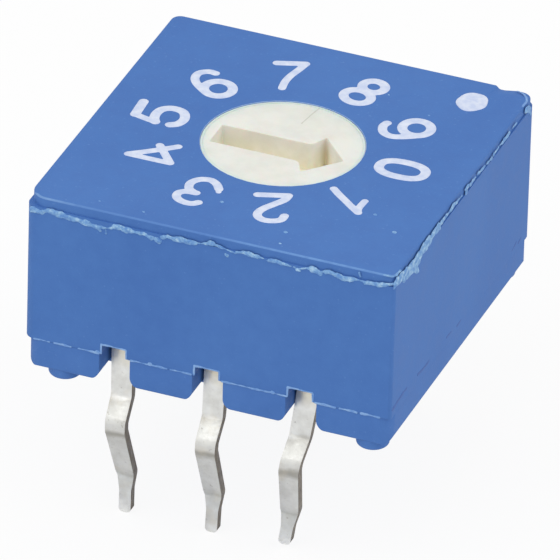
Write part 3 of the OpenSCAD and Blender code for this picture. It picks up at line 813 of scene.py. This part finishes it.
def torn(name, strokes, place, thick, tear=0.03, step=0.02, material=FLASH,
         body="housing"):
    """Torn skin: strokes are a half width and a line of points in the plane of place.

    thick is the skin's thickness, tear how deep its outline is torn and step the size of
    the cells that it is made of, in millimetres. The name settles where the waves lie.
    """
    seed = sum(ord(letter) for letter in name)
    us = [p[0] for _, line in strokes for p in line]
    vs = [p[1] for _, line in strokes for p in line]
    edge = max(half for half, _ in strokes) + tear

    def inside(u, v):
        whole = np.max([half - near(u, v, np.array(line)) for half, line in strokes], axis=0)
        return whole + ragged(u, v, tear, seed)

    def height(u, v, depth):
        lumps = (1 + LUMP * math.sin(LUMP_WAVES[0] * u + seed)
                 * math.sin(LUMP_WAVES[1] * v - seed))
        return max(thick * lumps * min(1, depth / TORN_EDGE) ** 0.5, TORN_LEAST)

    box = ((min(us) - edge, max(us) + edge), (min(vs) - edge, max(vs) + edge))
    patch(name, inside, box, step, place, height, material, body)


def on_front(u, v, h):
    return (u, -WALL - h, v)


def on_right(u, v, h):
    return (WALL + h, u, v)


def on_top(u, v, h):
    return (u, v, TOP + h)


def on_rotor(u, v, h):
    return (u, v, ROTOR_TOP + h)


# Flash torn from the ledge, front side: u along x, v along z
torn("flash_front_left", [
    (0.085, [(-4.81, 4.9), (-4.7, 4.89), (-4.58, 4.87)]),
    (0.06, [(-4.58, 4.9), (-4.4, 4.95), (-4.28, 4.95)]),
    (0.08, [(-4.28, 4.94), (-4.0, 4.92), (-3.7, 4.88), (-3.45, 4.86), (-3.3, 4.83)]),
    (0.045, [(-3.3, 4.84), (-3.1, 4.8), (-2.82, 4.83), (-2.66, 4.87)]),
    (0.03, [(-2.98, 4.82), (-2.96, 4.72)]),
    (0.028, [(-2.82, 4.82), (-2.81, 4.68)]),
    (0.07, [(-2.6, 4.92), (-2.4, 4.93), (-2.13, 4.91)]),
    (0.06, [(-2.13, 4.91), (-1.9, 4.91), (-1.76, 4.9), (-1.58, 4.84)]),
    (0.075, [(-1.41, 4.81), (-1.38, 4.8)]),
], on_front, 0.035, tear=0.04)
torn("flash_front_middle", [
    (0.06, [(-1.3, 4.93), (-1.15, 4.98), (-0.98, 4.97)]),
    (0.07, [(-0.98, 4.96), (-0.82, 4.98), (-0.5, 4.98), (-0.38, 4.98)]),
    (0.035, [(-0.38, 4.98), (-0.15, 5.03), (0.0, 5.06)]),
    (0.06, [(0.0, 5.07), (0.1, 5.08)]),
    (0.032, [(0.1, 5.07), (0.28, 5.04), (0.46, 5.0), (0.7, 4.95)]),
    (0.024, [(-0.11, 4.68), (-0.09, 4.66)]),
    (0.045, [(0.45, 4.85), (0.48, 4.84)]),
    (0.04, [(0.72, 4.98), (0.92, 5.03), (1.05, 5.02)]),
    (0.065, [(1.08, 5.01), (1.22, 5.0), (1.3, 5.0)]),
    (0.028, [(1.3, 5.02), (1.45, 4.98), (1.58, 4.92)]),
], on_front, 0.03)
torn("flash_front_right", [
    (0.05, [(1.6, 4.96), (1.81, 4.98), (1.92, 4.97)]),
    (0.032, [(1.9, 4.97), (2.09, 4.95), (2.3, 4.93)]),
    (0.055, [(2.36, 4.88), (2.44, 4.87)]),
    (0.03, [(2.44, 4.92), (2.6, 4.98), (2.72, 5.0)]),
    (0.075, [(2.75, 5.0), (2.88, 4.97), (2.98, 4.93)]),
    (0.04, [(2.98, 4.97), (3.12, 5.0)]),
    (0.07, [(3.14, 5.01), (3.3, 5.01), (3.42, 4.98)]),
    (0.065, [(3.46, 4.97), (3.62, 4.92), (3.85, 4.97)]),
    (0.04, [(3.85, 4.98), (4.05, 4.98), (4.2, 4.96)]),
    (0.06, [(4.2, 4.95), (4.3, 4.95)]),
    (0.055, [(4.3, 4.96), (4.55, 4.98), (4.75, 5.02), (5.01, 5.12)]),
    (0.032, [(4.03, 5.2), (4.06, 5.1)]),
], on_front, 0.035)

# Flash torn from the ledge, right side: u along y, v along z
torn("flash_right_near", [
    (0.13, [(-5.01, 5.1), (-4.6, 5.08), (-4.2, 5.04)]),
    (0.19, [(-4.3, 5.0), (-3.9, 4.92), (-3.6, 4.92), (-3.35, 5.0)]),
    (0.07, [(-3.75, 4.82), (-3.5, 4.68), (-3.42, 4.62)]),
    (0.15, [(-3.4, 5.02), (-3.0, 5.05), (-2.6, 5.08)]),
    (0.11, [(-2.7, 5.1), (-2.2, 5.1), (-1.95, 5.09)]),
], on_right, 0.03, tear=0.05)
torn("flash_right_far", [
    (0.05, [(-1.95, 5.12), (-1.7, 5.12), (-1.45, 5.15)]),
    (0.035, [(-1.4, 5.14), (-1.25, 5.13)]),
    (0.065, [(-1.25, 5.12), (-1.05, 5.14), (-0.88, 5.15)]),
    (0.03, [(-0.8, 5.14), (-0.5, 5.13), (-0.32, 5.12)]),
    (0.06, [(-0.04, 5.05), (0.0, 5.05)]),
    (0.04, [(-0.1, 5.17), (0.12, 5.16)]),
    (0.05, [(0.24, 5.12), (0.5, 5.13), (0.62, 5.14)]),
    (0.03, [(0.8, 5.14), (1.1, 5.11), (1.5, 5.09)]),
    (0.045, [(1.5, 5.08), (1.8, 5.06)]),
    (0.03, [(1.95, 5.09), (2.3, 5.12)]),
    (0.05, [(2.4, 5.12), (2.75, 5.1), (3.1, 5.12)]),
    (0.025, [(3.2, 5.14), (3.6, 5.13)]),
], on_right, 0.025, tear=0.04)

# The gate's stub on the right side, and two worn places at the corners of the top
torn("gate_stub", [
    (0.09, [(4.3, 5.14), (4.46, 5.1), (4.56, 5.0)]),
    (0.05, [(4.55, 5.0), (4.62, 4.86)]),
], on_right, 0.03)
torn("corner_flash", [
    (0.05, [(4.72, -4.96), (4.9, -4.94), (4.96, -4.84)]),
    (0.04, [(4.96, -4.84), (4.97, -4.6)]),
], on_top, 0.012)
torn("corner_rub", [
    (0.03, [(4.55, 4.88), (4.72, 4.82), (4.86, 4.68)]),
    (0.035, [(4.86, 4.68), (4.93, 4.5), (4.94, 4.2)]),
], on_top, 0.004, tear=0.02, material=BURR)

# Burr on the seam between cover and base, and round the rim notches
NOTCH_TOP = RIM + 0.27
NOTCH_HALF = 0.33
BURR_THICK = 0.014
BURR_CELL = 0.014
THIN_DASHES = (
    (-4.72, -4.3), (-4.16, -3.7), (-3.5, -3.02), (-2.06, -1.62), (-1.5, -1.08),
    (-0.98, -0.42), (0.42, 1.3), (1.36, 2.18))
WIDE_DASHES = ((2.95, 3.5), (3.62, 4.08), (4.2, 4.7))
SEAM_LUMPS = (-2.98, -1.55, 1.8)


def dash(half, a, b):
    """A slightly bowed stroke of the seam's burr from x = a to b."""
    return half, [(a, RIM + 0.012), ((a + b) / 2, RIM + 0.02), (b, RIM + 0.008)]


torn("seam_burr",
     [dash(0.023, a, b) for a, b in THIN_DASHES] + [dash(0.03, a, b) for a, b in WIDE_DASHES]
     + [(0.055, [(x, RIM + 0.03), (x + 0.02, RIM + 0.03)]) for x in SEAM_LUMPS],
     on_front, BURR_THICK, tear=0.016, step=BURR_CELL, material=BURR)
for number, x in enumerate((-PITCH, 0, PITCH), 1):
    torn("notch_burr_%d" % number, [
        (0.02, [(x - NOTCH_HALF - 0.01, RIM + 0.03), (x - NOTCH_HALF - 0.01, NOTCH_TOP)]),
        (0.028, [(x - NOTCH_HALF, NOTCH_TOP + 0.02), (x - 0.05, NOTCH_TOP + 0.028)]),
        (0.02, [(x - 0.05, NOTCH_TOP + 0.02), (x + NOTCH_HALF, NOTCH_TOP + 0.016)]),
        (0.022, [(x + NOTCH_HALF + 0.014, NOTCH_TOP), (x + NOTCH_HALF + 0.014, RIM + 0.03)]),
    ], on_front, BURR_THICK, tear=0.012, step=BURR_CELL, material=BURR)

# Specks of ink and plastic on the top: x, y and radius
SPECK_THICK = 0.014
SPECK_CELL = 0.012
SPECKS = (
    (3.41, -2.33, 0.045), (4.17, -2.94, 0.05), (1.65, -4.04, 0.05), (-0.35, -3.32, 0.045),
    (-1.98, -4.57, 0.035), (1.73, -4.61, 0.03), (-3.2, -4.53, 0.025), (2.89, 2.82, 0.025),
    (1.58, 3.37, 0.025))
for number, (x, y, r) in enumerate(SPECKS, 1):
    torn("speck_%d" % number, [(r, [(x, y), (x + 0.02, y - 0.01)])], on_top, SPECK_THICK,
         tear=0.012, step=SPECK_CELL)

# A line of painted shade of small dents low on the right side, and a scratch on the rotor
torn("side_scuffs", [
    (0.055, [(-4.86, 1.34), (-4.65, 1.37), (-4.42, 1.4), (-4.16, 1.42)]),
    (0.03, [(-4.16, 1.42), (-3.9, 1.42)]),
    (0.042, [(-3.1, 1.38), (-2.7, 1.33), (-2.32, 1.33)]),
    (0.035, [(-1.06, 1.33), (-0.74, 1.32)]),
    (0.032, [(-0.32, 1.25), (-0.04, 1.27)]),
    (0.035, [(3.66, 1.3), (3.95, 1.38)]),
    (0.03, [(4.1, 1.28), (4.3, 1.32)]),
], on_right, 0.005, tear=0.015, material=DENT_SHADE)
torn("rotor_scratch", [
    (0.018, [(0.06, 1.15), (0.1, 1.45), (0.14, 1.72)]),
    (0.014, [(0.14, 1.72), (0.17, 1.9), (0.19, 2.0)]),
], on_rotor, 0.004, tear=0.01, step=0.012, material=SCRATCH, body="rotor")


# ---------------------------------------------------------------- stage and light

FLOOR_HALF = 1.5                   # half the floor's side in metres
FLOOR_GAP = 0.002                  # millimetres under the terminals
FLOOR_SHADE = (0.88, 0.90)         # how much light the floor gives back
FLOOR_GLOW = 0.9                   # share of white that only the camera sees
SKY_LIGHT = 0.72                   # light of the world on the object
SKY_SEEN = 1.0                     # white, where the camera or a reflection sees the world
LAMP_AIM = Vector((0, 0, 2))


def make_floor():
    """A pale matt floor that keeps its shadow and shows near white to the camera."""
    m = bpy.data.materials.new("pale_floor")
    m.use_nodes = True
    tree = m.node_tree
    tree.nodes.clear()
    add = tree.nodes.new
    grain = add("ShaderNodeTexNoise")
    grain.inputs["Scale"].default_value = 40
    tint = add("ShaderNodeMapRange")
    tint.inputs["To Min"].default_value = FLOOR_SHADE[0]
    tint.inputs["To Max"].default_value = FLOOR_SHADE[1]
    tree.links.new(grain.outputs["Fac"], tint.inputs["Value"])
    matt = add("ShaderNodeBsdfDiffuse")
    tree.links.new(tint.outputs["Result"], matt.inputs["Color"])
    glow = add("ShaderNodeEmission")
    glow.inputs["Color"].default_value = (1, 1, 1, 1)
    rays = add("ShaderNodeLightPath")
    share = add("ShaderNodeMath")
    share.operation = "MULTIPLY"
    share.inputs[1].default_value = FLOOR_GLOW
    tree.links.new(rays.outputs["Is Camera Ray"], share.inputs[0])
    mix = add("ShaderNodeMixShader")
    tree.links.new(share.outputs[0], mix.inputs["Fac"])
    tree.links.new(matt.outputs[0], mix.inputs[1])
    tree.links.new(glow.outputs[0], mix.inputs[2])
    out = add("ShaderNodeOutputMaterial")
    tree.links.new(mix.outputs[0], out.inputs["Surface"])
    mesh = bpy.data.meshes.new("floor")
    r = FLOOR_HALF
    z = (FLOOR - FLOOR_GAP) * MM
    mesh.from_pydata([(-r, -r, z), (r, -r, z), (r, r, z), (-r, r, z)], [], [(0, 1, 2, 3)])
    mesh.materials.append(m)
    floor = bpy.data.objects.new("floor", mesh)
    bpy.context.scene.collection.objects.link(floor)


def make_world():
    """Even white light from all round, brighter where it is seen than where it lights."""
    world = bpy.data.worlds.new("studio")
    bpy.context.scene.world = world
    world.use_nodes = True
    tree = world.node_tree
    tree.nodes.clear()
    rays = tree.nodes.new("ShaderNodeLightPath")
    seen = tree.nodes.new("ShaderNodeMath")
    seen.operation = "MAXIMUM"
    tree.links.new(rays.outputs["Is Camera Ray"], seen.inputs[0])
    tree.links.new(rays.outputs["Is Glossy Ray"], seen.inputs[1])
    strength = tree.nodes.new("ShaderNodeMapRange")
    strength.inputs["To Min"].default_value = SKY_LIGHT
    strength.inputs["To Max"].default_value = SKY_SEEN
    tree.links.new(seen.outputs[0], strength.inputs["Value"])
    back = tree.nodes.new("ShaderNodeBackground")
    back.inputs["Color"].default_value = (1, 1, 1, 1)
    tree.links.new(strength.outputs["Result"], back.inputs["Strength"])
    out = tree.nodes.new("ShaderNodeOutputWorld")
    tree.links.new(back.outputs[0], out.inputs["Surface"])


def softbox(name, at, size, power):
    """A square lamp, its place and side in millimetres and its power in watts."""
    data = bpy.data.lights.new(name, "AREA")
    data.size = size * MM
    data.energy = power
    lamp = bpy.data.objects.new(name, data)
    bpy.context.scene.collection.objects.link(lamp)
    at = Vector(at)
    aim = (at - LAMP_AIM).to_track_quat("Z", "Y")
    lamp.matrix_world = Matrix.Translation(at * MM) @ aim.to_matrix().to_4x4()


make_floor()
make_world()
softbox("key_softbox", (190, 20, 150), 150, 0.11)
softbox("front_softbox", (-60, -130, 210), 200, 0.21)
